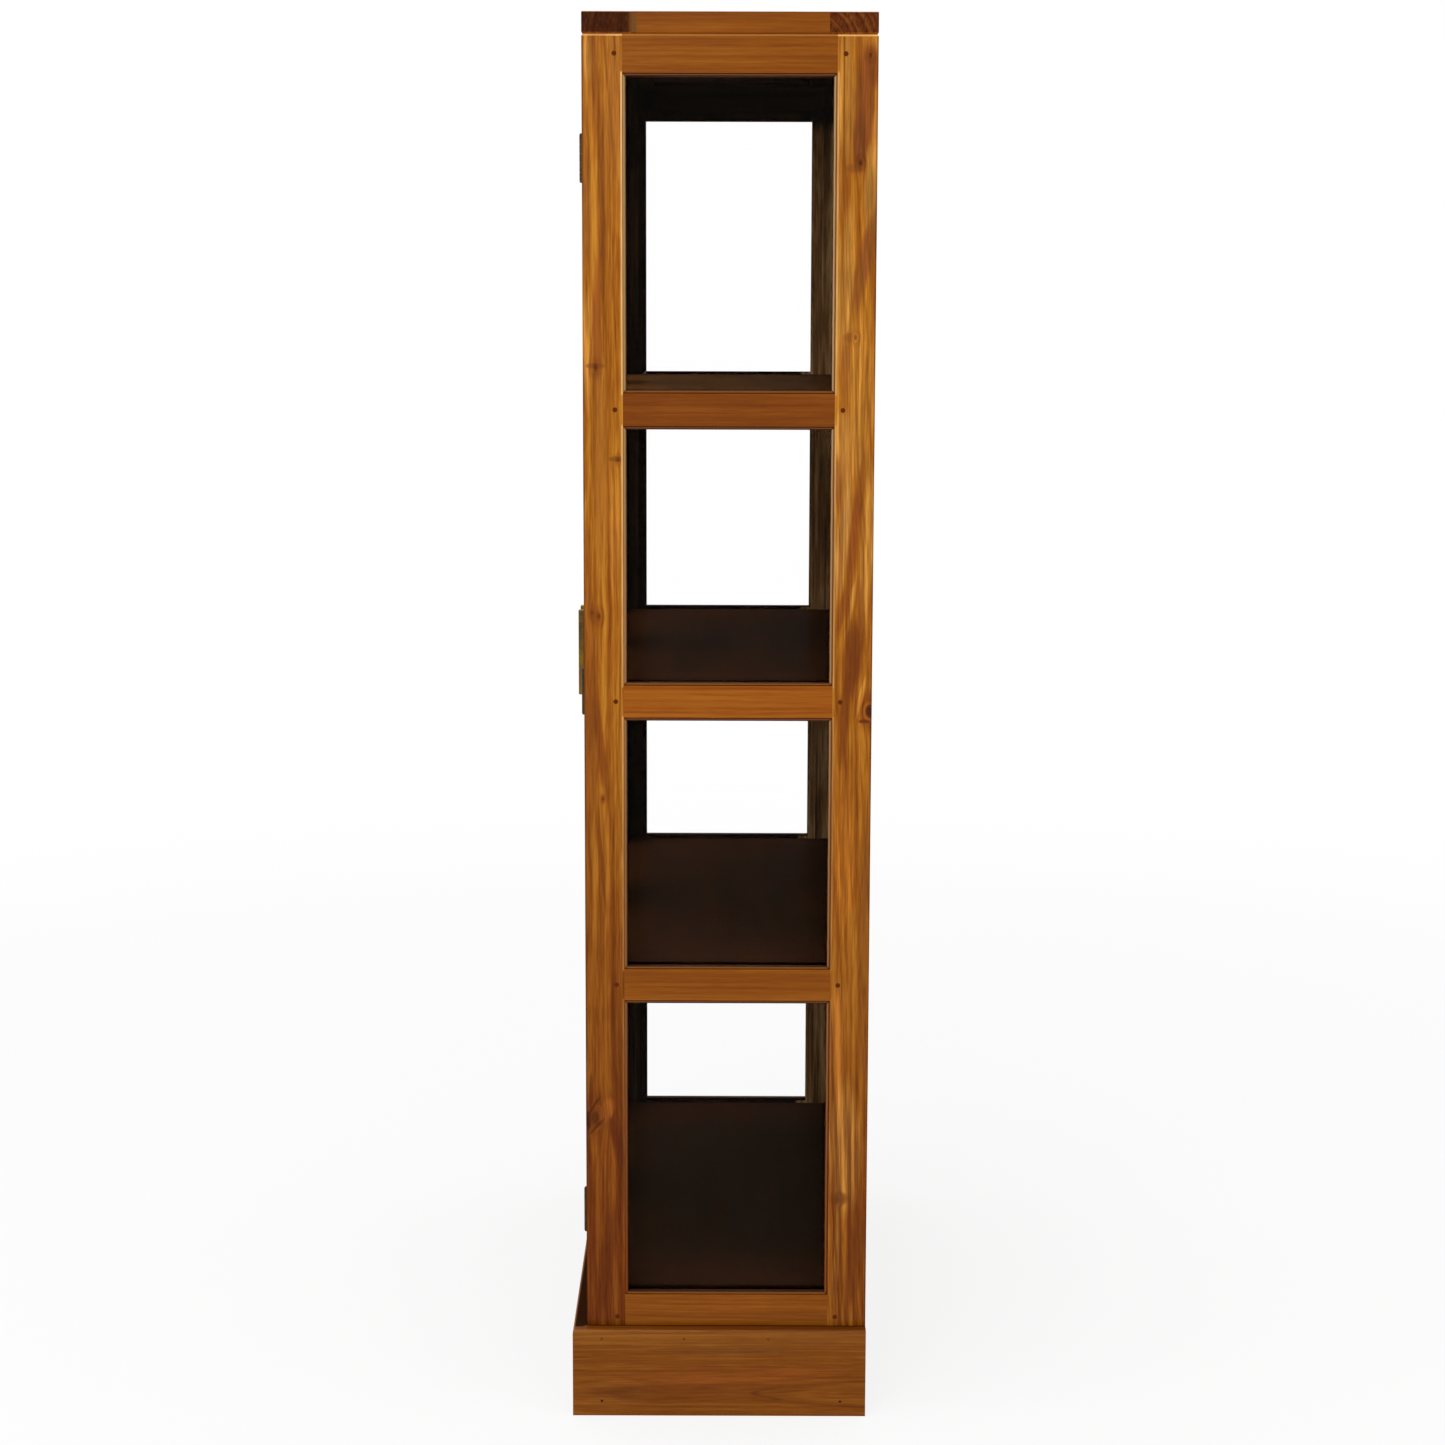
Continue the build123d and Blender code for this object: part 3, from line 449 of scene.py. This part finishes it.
def shaded_plinth_ledge(b):
    """The ledge in front of the doors, painted nearly black as shade."""
    before_doors = b.y.step(BODY_FRONT + 0.004, BODY_FRONT + 0.001)
    between_sides = b.x.away().step(BODY_X + 0.008, BODY_X + 0.004)
    ledge = b.facing[2].step(0.75, 0.97) * before_doors * between_sides
    b.lay(ledge * 0.95, paint(48, 24, 8))
    b.lose_gloss(ledge)


def end_sapwood(b):
    """Yellower wood at the back of the front board's cut ends."""
    b.lay(b.cut * b.y.step(-0.112, -0.104) * 0.55, paint(142, 92, 42))


# Each knot is its place across and along the board, its size and how dark it is.
PLINTH_KNOTS = ((0.052, 0.213, 0.005, 0.5),)
STILE_KNOTS = {
    "side_right_front_stile": ((-0.152, 1.366, 0.0036, 0.6), (-0.1495, 1.0535, 0.0036, 0.65),
                               (-0.1575, 1.058, 0.003, 0.45), (-0.1445, 0.819, 0.002, 0.5),
                               (-0.124, 1.251, 0.0024, 0.6), (-0.156, 0.398, 0.0090, 0.7)),
    "side_right_back_stile": ((0.176, 1.618, 0.0030, 0.8), (0.187, 1.748, 0.003, 0.6),
                              (0.194, 0.933, 0.0068, 1.0), (0.172, 1.404, 0.003, 0.4),
                              (0.160, 0.288, 0.003, 0.35)),
    "side_left_front_stile": ((-0.147, 1.494, 0.004, 0.6), (-0.136, 0.702, 0.003, 0.6)),
    "side_left_back_stile": ((0.170, 1.231, 0.005, 0.8), (0.181, 0.532, 0.003, 0.5)),
    "door_right_hinge_stile": ((0.371, 0.627, 0.004, 0.7), (0.392, 1.480, 0.003, 0.5)),
    "door_right_meeting_stile": ((0.033, 1.437, 0.005, 0.6),),
    "door_left_hinge_stile": ((-0.384, 1.214, 0.005, 0.7),),
    "door_left_meeting_stile": ((-0.031, 0.466, 0.004, 0.7), (-0.020, 1.602, 0.003, 0.5)),
}
# Each mark is its place across and along the board, its half width and half run, its colour, how strong it is
# and, where it slants, by how much.
PLINTH_MARKS = ((0.0325, 0.052, 0.0032, 0.007, (84, 44, 14), 0.9),
                (0.0385, 0.071, 0.0016, 0.026, (92, 46, 14), 0.8, 0.22),
                (0.0270, 0.069, 0.0016, 0.024, (92, 46, 14), 0.8, -0.18),
                (0.0345, 0.100, 0.0012, 0.034, (98, 50, 18), 0.6, 0.1),
                (0.050, -0.020, 0.030, 0.12, (126, 60, 20), 0.4),
                (0.030, -0.130, 0.020, 0.05, (132, 78, 26), 0.5),
                (0.060, 0.110, 0.014, 0.07, (130, 64, 18), 0.5),
                (0.090, 0.020, 0.008, 0.09, (112, 66, 26), 0.5))
STILE_MARKS = {
    "side_right_front_stile": ((-0.128, 1.700, 0.011, 0.11, (140, 82, 26), 0.7),
                               (-0.161, 1.745, 0.008, 0.03, (178, 120, 48), 0.6),
                               (-0.145, 1.560, 0.004, 0.13, (134, 72, 24), 0.6, 0.02),
                               (-0.162, 1.560, 0.006, 0.07, (150, 92, 34), 0.6),
                               (-0.161, 1.390, 0.008, 0.08, (192, 127, 50), 0.85),
                               (-0.150, 1.400, 0.006, 0.10, (132, 70, 22), 0.8),
                               (-0.152, 1.368, 0.013, 0.004, (112, 58, 20), 0.7),
                               (-0.124, 1.252, 0.012, 0.004, (106, 54, 20), 0.8),
                               (-0.146, 1.240, 0.010, 0.14, (142, 86, 27), 0.9),
                               (-0.130, 1.160, 0.009, 0.08, (178, 112, 42), 0.6),
                               (-0.161, 1.000, 0.006, 0.16, (134, 72, 24), 0.5),
                               (-0.160, 0.880, 0.010, 0.15, (126, 67, 18), 0.7),
                               (-0.146, 0.885, 0.007, 0.075, (120, 58, 16), 0.8, -0.12),
                               (-0.146, 0.745, 0.003, 0.075, (112, 52, 14), 0.8, -0.06),
                               (-0.128, 0.380, 0.007, 0.060, (110, 44, 18), 0.7, -0.1),
                               (-0.139, 0.408, 0.010, 0.018, (200, 132, 50), 0.7, 0.2),
                               (-0.160, 0.430, 0.003, 0.030, (80, 34, 12), 0.6),
                               (-0.155, 0.415, 0.0024, 0.015, (84, 36, 12), 0.7, 0.6),
                               (-0.151, 0.387, 0.0028, 0.012, (88, 40, 14), 0.7, 0.9),
                               (-0.163, 0.394, 0.004, 0.016, (70, 30, 10), 0.8),
                               (-0.130, 0.378, 0.006, 0.024, (108, 50, 18), 0.5, -0.2),
                               (-0.142, 0.200, 0.010, 0.080, (96, 38, 12), 0.5, 0.1)),
    "side_right_back_stile": ((0.180, 1.690, 0.015, 0.085, (124, 66, 24), 0.95, 0.04),
                              (0.173, 1.645, 0.008, 0.040, (118, 62, 26), 0.8),
                              (0.192, 1.735, 0.008, 0.030, (112, 54, 20), 0.7),
                              (0.158, 1.700, 0.010, 0.10, (186, 128, 52), 0.7),
                              (0.193, 1.652, 0.005, 0.030, (176, 112, 46), 0.7),
                              (0.166, 1.611, 0.012, 0.006, (132, 76, 28), 0.7),
                              (0.190, 1.585, 0.011, 0.060, (190, 132, 56), 0.8),
                              (0.154, 1.580, 0.005, 0.040, (148, 84, 36), 0.5),
                              (0.182, 1.495, 0.011, 0.072, (132, 74, 28), 0.95, 0.2),
                              (0.159, 1.470, 0.011, 0.110, (188, 130, 54), 0.8, 0.04),
                              (0.166, 1.404, 0.010, 0.007, (122, 68, 24), 0.7),
                              (0.160, 1.368, 0.006, 0.045, (144, 82, 32), 0.8),
                              (0.178, 1.330, 0.017, 0.120, (188, 125, 46), 0.85),
                              (0.158, 1.280, 0.012, 0.035, (186, 128, 56), 0.7),
                              (0.160, 1.215, 0.009, 0.080, (190, 130, 58), 0.8),
                              (0.152, 1.220, 0.004, 0.038, (140, 78, 30), 0.7),
                              (0.171, 1.265, 0.010, 0.035, (190, 124, 48), 0.6),
                              (0.174, 1.165, 0.008, 0.090, (132, 68, 22), 0.95, 0.1),
                              (0.190, 1.150, 0.010, 0.110, (187, 130, 54), 0.7, 0.05),
                              (0.158, 1.150, 0.009, 0.080, (186, 130, 62), 0.7, 0.08),
                              (0.159, 1.066, 0.006, 0.040, (136, 72, 26), 0.8, 0.23),
                              (0.170, 1.070, 0.003, 0.045, (192, 134, 56), 0.7, 0.19),
                              (0.182, 1.060, 0.006, 0.050, (134, 70, 24), 0.7, -0.1),
                              (0.171, 0.998, 0.013, 0.055, (114, 52, 16), 0.95, 0.05),
                              (0.1625, 0.925, 0.007, 0.065, (112, 50, 14), 0.9, 0.06),
                              (0.183, 0.950, 0.0035, 0.030, (194, 130, 50), 0.9, 0.22),
                              (0.188, 0.920, 0.008, 0.003, (106, 54, 20), 0.8),
                              (0.1635, 0.850, 0.003, 0.070, (122, 58, 18), 0.7),
                              (0.162, 0.750, 0.016, 0.110, (182, 110, 31), 0.8),
                              (0.190, 0.640, 0.007, 0.200, (124, 70, 24), 0.6),
                              (0.158, 0.500, 0.010, 0.090, (182, 116, 44), 0.7),
                              (0.167, 0.360, 0.022, 0.095, (202, 140, 60), 0.95),
                              (0.160, 0.290, 0.014, 0.010, (134, 76, 30), 0.6),
                              (0.157, 0.225, 0.0035, 0.075, (198, 142, 62), 0.6, 0.03),
                              (0.182, 0.210, 0.012, 0.090, (118, 56, 18), 0.55, 0.1)),
}
RAIL_TONES = {"upper": red_amber, "middle": pale_amber}
# The upper shelf's paler stain is painted light from above.
SHELF_TONES = {"upper_shelf": lit_upper_shelf_stain, "bottom_panel": bottom_stain}


# Glass and fittings

def window_glass():
    """Clear glass with faint smears. Its low index keeps the white round it from greying the dark inside."""
    f = Finish("window_glass")
    x, y, z = f.place()
    smears = f.noise(x * 9, y * 9, z * 7, 3.0)
    return f.surface(Base_Color=(1, 1, 1, 1), Roughness=smears.step(0.6, 0.75) * 0.012, IOR=1.08,
                     Transmission_Weight=1.0)


def brass(name, bright, dark):
    """Brass that has gone dull and dark in places."""
    f = Finish(name)
    x, y, z = f.place()
    age = f.noise(x * 70, y * 70, z * 45, 3.0, 0.6)
    specks = f.noise(x * 900, y * 900, z * 700, 2.0)
    aged = (age + specks * 0.3 - 0.15).step(0.25, 0.8)
    return f.surface(Base_Color=f.blend(aged, bright, dark), Metallic=1 - aged * 0.5,
                     Roughness=aged * 0.25 + 0.32, Normal=f.bump(specks, 0.15, 0.0002))


def steel():
    """Steel brushed from side to side."""
    f = Finish("catch_steel")
    x, y, z = f.place()
    brushed = f.noise(x * 60, y * 900, z * 900, 2.0)
    return f.surface(Base_Color=f.blend(brushed, paint(120, 118, 112), paint(178, 176, 170)), Metallic=1.0,
                     Roughness=brushed * 0.2 + 0.3)


def catch_plastic():
    """Brown plastic with a fine grain."""
    f = Finish("catch_plastic")
    x, y, z = f.place()
    grain = f.noise(x * 1500, y * 1500, z * 1500, 1.0)
    return f.surface(Base_Color=f.blend(grain, paint(46, 30, 20), paint(66, 44, 30)),
                     Roughness=grain * 0.1 + 0.45, Normal=f.bump(grain, 0.2, 0.0001))


def filled_nail_heads():
    """Rusty at the foot of the plinth, and filled with brown wax higher up."""
    f = Finish("plinth_nails")
    x, y, z = f.place()
    rust = f.noise(x * 1300, y * 1300, z * 1300, 2.0)
    filled = z.step(0.05, 0.07)
    colour = f.blend(filled, f.blend(rust, paint(22, 12, 8), paint(52, 28, 14)),
                     f.blend(rust, paint(88, 46, 18), paint(112, 62, 24)))
    return f.surface(Base_Color=colour, Roughness=rust * 0.2 + 0.6, Specular_IOR_Level=0.1)


def pegs():
    """Dark pegs with pores along them, which show as dots in their ends."""
    f = Finish("peg_ends")
    x, y, z = f.place()
    pores = f.noise(x * 60, y * 1400, z * 1400, 2.0)
    return f.surface(Base_Color=f.blend(pores.step(0.35, 0.65), paint(66, 27, 8), paint(112, 56, 20)),
                     Roughness=0.6, Specular_IOR_Level=0.0, Normal=f.bump(pores, 0.3, 0.0003))


def outer_beads():
    """Slim beads round the side lights: pale beside a stile as a painted highlight, with a brown line along
    them at the back, darker towards the floor as painted shade, dark as painted shade with a thin pale line
    under a rail, as brown as the rail on top of one, and dark as painted shade on the faces that look up and
    down."""
    f = Finish("side_outer_beads")
    x, y, z = f.place()
    wander = f.noise(x * 60, y * 60, z * 60, 2.0) - 0.5
    from_stile = nearest(y, (FRONT_JOINT, BACK_JOINT))
    over_rail = nearest(z, [low for low, high in LIGHTS])
    under_rail = nearest(z, [high for low, high in LIGHTS])
    upright = (over_rail.least(under_rail) - from_stile).step(-0.0002, 0.0002)
    bead_width = 0.004

    def across(gap, stops):
        """The colours met on the way from the stile or rail to the bead's inner edge."""
        return f.ramp(gap / bead_width + wander * 0.28, [(place, paint(*colour)) for place, colour in stops])

    # Painted highlights on the beads beside the stiles.
    at_front = across(from_stile, [(0.0, (170, 126, 74)), (0.45, (166, 130, 86)), (0.8, (150, 115, 76)),
                                   (1.0, (112, 80, 48))])
    at_back = across(from_stile, [(0.0, (150, 108, 62)), (0.3, (116, 78, 38)), (0.6, (176, 138, 94)),
                                  (0.85, (188, 148, 104)), (1.0, (120, 84, 48))])
    pale = f.blend(y.step(0.0, 0.1), at_front, at_back)
    # Painted shade: darker towards the floor.
    pale = f.blend(1 - z.step(0.0, 1.6), pale, paint(190, 126, 80), "MULTIPLY")
    # Painted shade on the beads under a rail.
    lined = across(under_rail, [(0.0, (72, 30, 8)), (0.25, (84, 38, 8)), (0.42, (124, 76, 52)),
                                (0.62, (96, 56, 32)), (0.9, (40, 20, 8))])
    brown = across(over_rail, [(0.0, (92, 44, 8)), (0.22, (112, 58, 12)), (0.5, (128, 74, 30)),
                               (0.85, (132, 84, 44)), (1.0, (96, 56, 28))])
    lying = f.blend((under_rail - over_rail).step(-0.01, 0.01), lined, brown)
    colour = f.blend(upright, lying, pale)
    # Painted shade on the faces that look up and down.
    colour = f.blend(f.facing()[2].away().step(0.3, 0.8), colour, paint(64, 36, 14))
    return f.surface(Base_Color=colour, Roughness=wander * 0.2 + 0.5, Specular_IOR_Level=0.0,
                     Coat_Weight=0.08, Coat_Roughness=0.3, Normal=f.bump(wander, 0.2, 0.0003))


ONE_OFF_FINISHES = {"plinth_nails": filled_nail_heads, "side_pegs": pegs, "side_outer_beads": outer_beads,
                    "door_catch": catch_plastic}


def finish_for(node, seed):
    """The finish of one piece, by its name."""
    in_side_frame = node.startswith("side_")
    if "panes" in node:
        return glass
    if node in ONE_OFF_FINISHES:
        return ONE_OFF_FINISHES[node]()
    if "strike" in node:
        return strike_steel
    if "handle" in node:
        return handle_brass
    if any(word in node for word in ("screws", "hinge_leaves", "hinge_pins")):
        return hinge_brass
    if "shelf" in node or node == "bottom_panel":
        return wood(node, "xyz", SHELF_TONES.get(node, shelf_stain), pith=(0.1, -0.4, 0, 0), seed=seed,
                    strength=0.6, relief=0.02, dressings=(shelf_finish,))
    if node == "side_inner_beads":
        return wood(node, "zxy", stain, seed=seed, relief=0.1, dressings=(inner_bead_finish,))
    if node == "back_panel":
        return wood(node, "zxy", dull, pith=(0.1, -0.3, 0, 0), seed=seed, dressings=(inner_back,))
    # The plinth's dressings paint a highlight along its top and shade on its ledges.
    if node in ("plinth_front", "plinth_rear"):
        return wood(node, "xzy", dull, pith=(0.03, -0.1, 0, 0.06), seed=seed, knots=PLINTH_KNOTS,
                    strength=0.8, dressings=(plinth_highlight_and_shade, shaded_plinth_ledge))
    if node.startswith("plinth"):
        return wood(node, "yzx", dull, pith=(0.032, 0.4255, 0, 0.03), seed=seed, marks=PLINTH_MARKS,
                    strength=0.8, dressings=(plinth_highlight_and_shade,))
    if node == "top_front_board":
        return wood(node, "xyz", amber, pith=(-0.40, 1.787, 0, 0.01), seed=seed, ends=dark_end_grain,
                    dressings=(end_sapwood, under_top, dark_top_arris))
    if node == "top_back_board":
        return wood(node, "xyz", amber, pith=(0.10, 1.74, 0, 0.02), seed=seed, ends=pale_end_grain,
                    dressings=(under_top, dark_top_arris))
    if node == "top_centre_panel":
        return wood(node, "xyz", amber, pith=(0.02, 1.72, 0, 0.02), seed=seed, dressings=(under_top,))
    if node.startswith("top_"):
        return wood(node, "yxz", amber, pith=(0.3, 1.70, 0, 0.02), seed=seed, strength=0.6,
                    dressings=(under_top, dark_top_arris))
    if in_side_frame and "stile" in node:
        if "front" in node:
            # The front stile's inner face is stained paler as painted light.
            heart, foot, inner = (-0.20, 0.30, -0.02, 0.0), 0.99, front_lit_inner_face
        else:
            # The back stile's inner face has paler stain as painted light from the panes.
            heart, foot, inner = (0.24, 0.37, -0.03, 0.02), 0.63, window_lit_inner_face
        # Painted shade towards the foot, and painted highlights on the top arris and along the lights.
        return wood(node, "zyx", golden, pith=heart, seed=seed, knots=STILE_KNOTS[node],
                    marks=STILE_MARKS.get(node, ()),
                    dressings=(darker_wood_and_foot_shade(foot), dark_arris, painted_top_highlight, painted_arris_highlight, inner))
    # The top rail has a painted highlight on its upper arris.
    if in_side_frame and "rail" in node:
        level = node.split("_")[2]
        return wood(node, "yzx", RAIL_TONES.get(level, amber), pith=(0.4, 0.3, 0, 0.02), seed=seed,
                    strength=0.55, dressings=(painted_rail_highlight, inner_face) if level == "top" else (inner_face,))
    if "rail" in node:
        return wood(node, "xzy", amber, pith=(0.4, 0.1, 0, 0.02), seed=seed, strength=0.6)
    if "stile" in node:
        return wood(node, "zxy", golden, pith=(0.3, -0.3, 0.02, 0.02), seed=seed, knots=STILE_KNOTS[node])
    # Only the doors' beads are left.
    return wood(node, "zxy", amber, pith=(0.1, 0.1, 0.02, 0.02), seed=seed)


glass, strike_steel = window_glass(), steel()
handle_brass = brass("handle_brass", paint(134, 102, 38), paint(70, 53, 20))
hinge_brass = brass("hinge_brass", paint(88, 60, 32), paint(36, 24, 15))
SEED_STEP = 1.7
for number, (node, piece) in enumerate(sorted(nodes.items())):
    piece.data.materials.clear()
    piece.data.materials.append(finish_for(node, number * SEED_STEP))


# Floor, light and camera

def white_seen(f):
    """1 for what the eye, a gloss or a pane looks at, and 0 for what only lights the cabinet."""
    path = f.node("ShaderNodeLightPath").outputs
    looks = [Value(f, path[kind]) for kind in ("Is Camera Ray", "Is Glossy Ray", "Is Transmission Ray")]
    return (looks[0] + looks[1] + looks[2]).clamp()


def pale_floor():
    """A matt floor that is seen nearly white near the cabinet, so that its shadow stays, and white far off.
    Inside the plinth it has no glow, as the gap under the doors shows it."""
    f = Finish("pale_floor")
    x, y = f.place()[:2]
    # The glow ends under the plinth's boards, inset from their outer faces.
    inset, soft_edge, near_glow = 0.010, 0.004, 0.8
    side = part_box("plinth_right")[1][0] - inset
    front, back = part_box("plinth_front")[0][1] + inset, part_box("plinth_rear")[1][1] - inset
    outside = x.away().step(side, side + soft_edge)
    outside = outside.most(y.step(front, front - soft_edge)).most(y.step(back, back + soft_edge))
    far = (x * x + y * y).root().step(1.2, 4.0)
    matt = f.output("ShaderNodeBsdfDiffuse", None, Color=(0.86, 0.86, 0.86, 1))
    glow = f.output("ShaderNodeEmission", None, Color=(1, 1, 1, 1), Strength=1.0)
    glow_share = (far * (1 - near_glow) + near_glow) * outside
    seen = f.output("ShaderNodeMixShader", None, glow_share, matt, glow)
    return f.close(f.output("ShaderNodeMixShader", None, white_seen(f), matt, seen))


bpy.ops.mesh.primitive_plane_add(size=80)
floor = bpy.context.object
floor.name = "floor"
floor.data.materials.append(pale_floor())

# The sky is white where it is seen, and lights the cabinet by this much.
SKYLIGHT = 0.62
world = bpy.data.worlds.new("studio")
bpy.context.scene.world = world
sky = Finish("studio", world)
sky_strength = white_seen(sky) * (1 - SKYLIGHT) + SKYLIGHT
sky.close(sky.output("ShaderNodeBackground", None, (1, 1, 1, 1), sky_strength))


def softbox(name, place, target, width, height, power):
    """A soft lamp at a place, turned to its target, with its size in metres and its power in watts."""
    lamp = bpy.data.lights.new(name, "AREA")
    lamp.shape, lamp.size, lamp.size_y, lamp.energy = "RECTANGLE", width, height, power
    holder = bpy.data.objects.new(name, lamp)
    bpy.context.scene.collection.objects.link(holder)
    holder.location = place
    holder.rotation_euler = (Vector(target) - Vector(place)).to_track_quat("-Z", "Y").to_euler()


softbox("overhead_softbox", (0.3, -0.2, 4.2), (0, 0, 0.9), 3.0, 3.0, 90)
softbox("side_softbox", (4.6, -1.6, 3.0), (0, 0, 1.0), 2.6, 2.6, 60)


def turned_by(first, second, degrees):
    """Two directions at right angles, the first turned towards the second and the second with it."""
    cosine, sine = math.cos(math.radians(degrees)), math.sin(math.radians(degrees))
    return first * cosine + second * sine, second * cosine - first * sine


# The camera looks along minus X at the right side, a little down, with the photograph's own framing.
YAW, PITCH, ROLL = -0.055, 8.002, -0.155
ahead, right, down = Vector((-1, 0, 0)), Vector((0, 1, 0)), Vector((0, 0, -1))
ahead, right = turned_by(ahead, right, YAW)
ahead, down = turned_by(ahead, down, PITCH)
right, down = turned_by(right, down, ROLL)
lens = bpy.data.cameras.new("camera")
lens.sensor_width = 36
lens.lens = 66.25
lens.shift_y = -0.036
camera = bpy.data.objects.new("camera", lens)
bpy.context.scene.collection.objects.link(camera)
camera.matrix_world = Matrix((right, -down, -ahead)).transposed().to_4x4()
camera.location = (3.7687, 0.0106, 1.4539)
bpy.context.scene.camera = camera
bpy.context.scene.view_settings.view_transform = "Standard"
